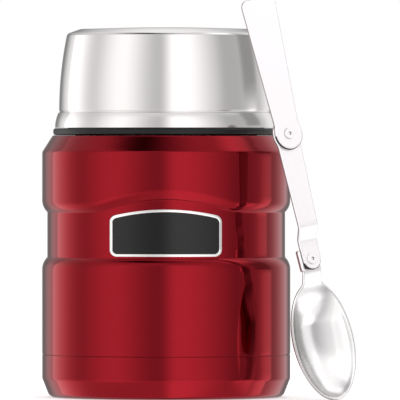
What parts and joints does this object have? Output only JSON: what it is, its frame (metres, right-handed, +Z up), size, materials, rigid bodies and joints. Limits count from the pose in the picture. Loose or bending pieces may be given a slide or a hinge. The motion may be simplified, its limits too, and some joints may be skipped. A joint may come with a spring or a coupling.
{
  "type": "insulated food jar",
  "caption": "Vacuum-walled steel food jar with a screw-in stopper, a screw-on cup lid and a folding spoon.",
  "frame": {"origin": "centre of the foot ring's flat underside, on the jar's axis", "axes": "+Z up along the jar's axis; the badge faces -Y; the open spoon stands at +X, -Y"},
  "size_m": [0.1187, 0.0942, 0.1509],
  "materials": {
    "red_enamel": "deep red clear-coated metallic enamel on stainless steel",
    "vessel_steel": "electropolished stainless steel",
    "foil": "bright aluminium foil",
    "braze": "nickel braze bead",
    "getter_tablet": "sintered metal tablet",
    "badge_tape": "acrylic foam tape",
    "badge_border": "bright diamond-cut aluminium",
    "badge_field": "black gloss, left bare",
    "black_moulding": "black polypropylene, fine satin texture",
    "foam": "cellular insulating foam",
    "silicone": "translucent grey silicone",
    "cup_steel": "stainless steel, fine turned brushing",
    "spoon_steel": "polished stainless steel"
  },
  "bodies": {
    "jar": {"outer_wall": "red_enamel", "outer_neck": "vessel_steel", "base_cup": "red_enamel", "inner_wall": "vessel_steel", "inner_bottom": "vessel_steel", "foil_shield": "foil", "vacuum_bottom": "vessel_steel", "seal_plug": "braze", "getter_bracket": "vessel_steel", "getter": "getter_tablet", "badge_adhesive": "badge_tape", "badge_rim": "badge_border", "badge_inlay": "badge_field"},
    "stopper": {"stopper_body": "black_moulding", "stopper_base": "black_moulding", "stopper_foam": "foam", "stopper_gasket": "silicone"},
    "cup": {"cup_shell": "cup_steel", "cup_liner": "black_moulding"},
    "handle": {"spoon_handle": "spoon_steel", "spoon_rivet_upper": "spoon_steel"},
    "link": {"spoon_link": "spoon_steel", "spoon_rivet_lower": "spoon_steel"},
    "bowl": {"spoon_bowl": "spoon_steel"}
  },
  "joints": [
    {"name": "stopper_lift", "type": "slide", "parent": "jar", "child": "stopper", "axis": [0, 0, 1], "range_m": [0, 0.06]},
    {"name": "cup_lift", "type": "slide", "parent": "stopper", "child": "cup", "axis": [0, 0, 1], "range_m": [0, 0.06]},
    {"name": "spoon_lift", "type": "slide", "parent": "jar", "child": "handle", "axis": [0.3747, -0.5997, 0.7071], "range_m": [0, 0.08]},
    {"name": "spoon_fold_upper", "type": "hinge", "parent": "handle", "child": "link", "pos_m": [0.04615, -0.042, 0.09965], "axis": [0.5219, -0.8352, 0.1736], "range_deg": [0, 180]},
    {"name": "spoon_fold_lower", "type": "hinge", "parent": "link", "child": "bowl", "pos_m": [0.05689, -0.04487, 0.05357], "axis": [0.5219, -0.8352, 0.1736], "range_deg": [0, 180]}
  ]
}
